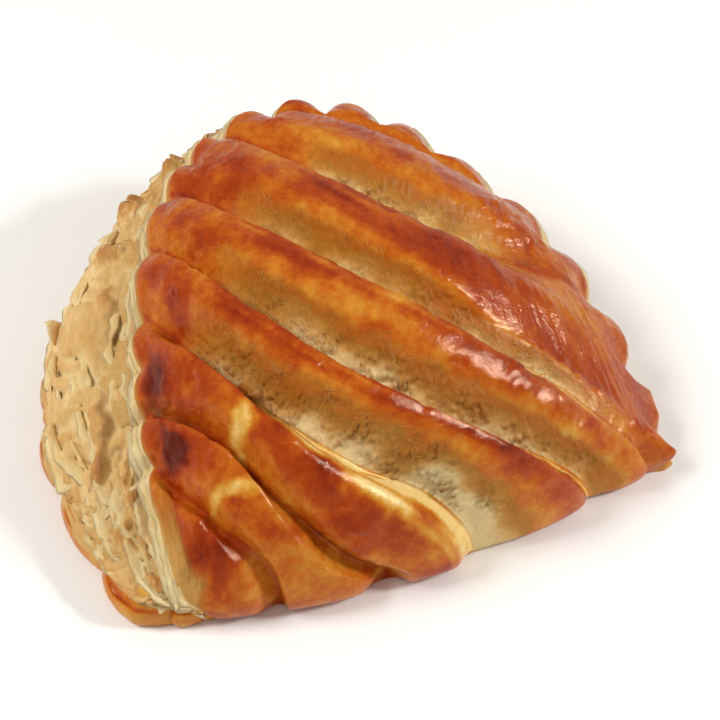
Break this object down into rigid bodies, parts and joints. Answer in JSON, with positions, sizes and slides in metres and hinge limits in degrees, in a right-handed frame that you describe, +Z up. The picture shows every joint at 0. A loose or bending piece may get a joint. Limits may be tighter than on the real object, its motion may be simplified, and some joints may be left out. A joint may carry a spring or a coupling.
{
  "type": "turnover pastry",
  "caption": "Half-moon puff pastry turnover with a scored, glazed top, a scalloped rim and flaky layers open down its left side.",
  "frame": {"origin": "middle of the footprint's box, on the surface the turnover rests on", "axes": "+X to the pointed right tip of the rim, +Y from the fold to the back of the scalloped rim, +Z up"},
  "size_m": [0.1377, 0.1284, 0.0528],
  "materials": {
    "crust": "egg-washed, baked golden brown, with pale matt dough where the layers have opened"
  },
  "bodies": {
    "root": {"turnover": "crust"}
  },
  "joints": []
}
